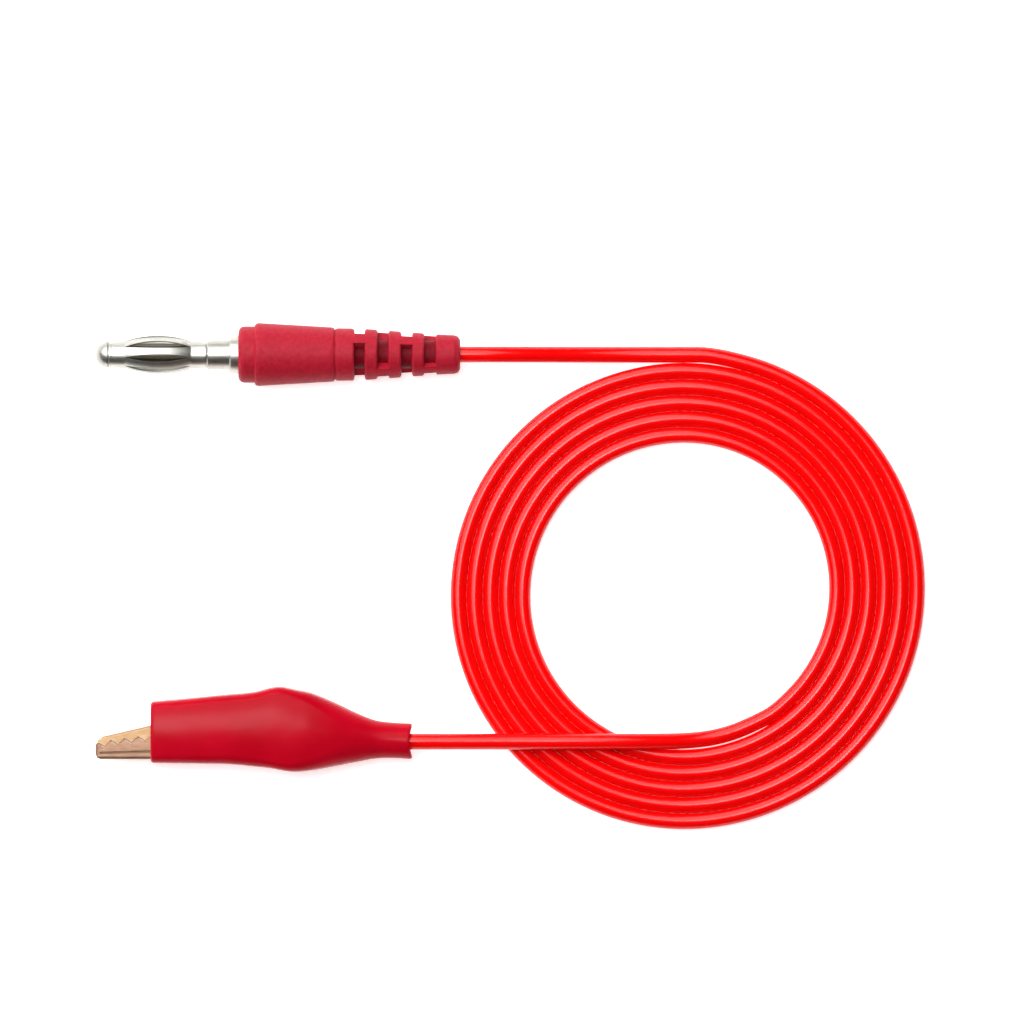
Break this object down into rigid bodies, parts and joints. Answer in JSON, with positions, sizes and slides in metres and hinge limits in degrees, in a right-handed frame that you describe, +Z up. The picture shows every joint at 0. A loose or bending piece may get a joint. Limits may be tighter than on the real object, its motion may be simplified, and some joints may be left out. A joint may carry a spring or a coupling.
{
  "type": "alligator clip lead",
  "caption": "Test lead with a booted alligator clip on one end, a lantern-type 4 mm banana plug on the other, and its cord coiled flat between them.",
  "frame": {"origin": "on the table, under the middle of the clip's outline, with the clip lying on its side", "axes": "+X from the clip's nose to its cord, +Y from the lower jaw to the upper jaw, +Z up off the table"},
  "size_m": [0.1138, 0.0695, 0.0087],
  "materials": {
    "copper_plate": "bright copper plating on sheet steel",
    "spring_steel": "plated spring wire",
    "bare_copper": "bare stranded copper",
    "solder": "solder, slightly dull",
    "boot_pvc": "glossy soft PVC",
    "cord_jacket": "satin PVC jacket",
    "handle_pvc": "fine-grained matte PVC",
    "inner_mould_pvc": "plain moulding",
    "nickel_plate": "bright nickel plating on turned brass",
    "contact_nickel": "bright nickel plating on a spring contact"
  },
  "bodies": {
    "root": {"lower_jaw": "copper_plate", "pivot_rivet": "copper_plate", "torsion_spring": "spring_steel", "clip_boot": "boot_pvc", "clip_conductor": "bare_copper", "clip_solder": "solder", "cord_clip_stub": "cord_jacket", "cord_clip_lead": "cord_jacket", "cord_coil": "cord_jacket", "cord_plug_lead": "cord_jacket", "cord_plug_stub": "cord_jacket", "plug_handle": "handle_pvc", "plug_inner_mould": "inner_mould_pvc", "plug_pin": "nickel_plate", "plug_nose_cap": "nickel_plate", "plug_conductor": "bare_copper", "plug_solder": "solder"},
    "upper_jaw": {"upper_jaw": "copper_plate"},
    "contact_cage": {"plug_contact_cage": "contact_nickel"}
  },
  "joints": [
    {"name": "jaw_hinge", "type": "hinge", "parent": "root", "child": "upper_jaw", "pos_m": [-0.004, -0.0007, 0.004], "axis": [0, 0, -1], "range_deg": [0, 24], "stiffness_Nm_per_rad": 0.05, "springref_deg": -45.84, "deforming": ["clip_boot", "torsion_spring"]},
    {"name": "cage_spin", "type": "hinge", "parent": "root", "child": "contact_cage", "pos_m": [-0.013, 0.0514, 0.00435], "axis": [1, 0, 0], "continuous": true}
  ]
}
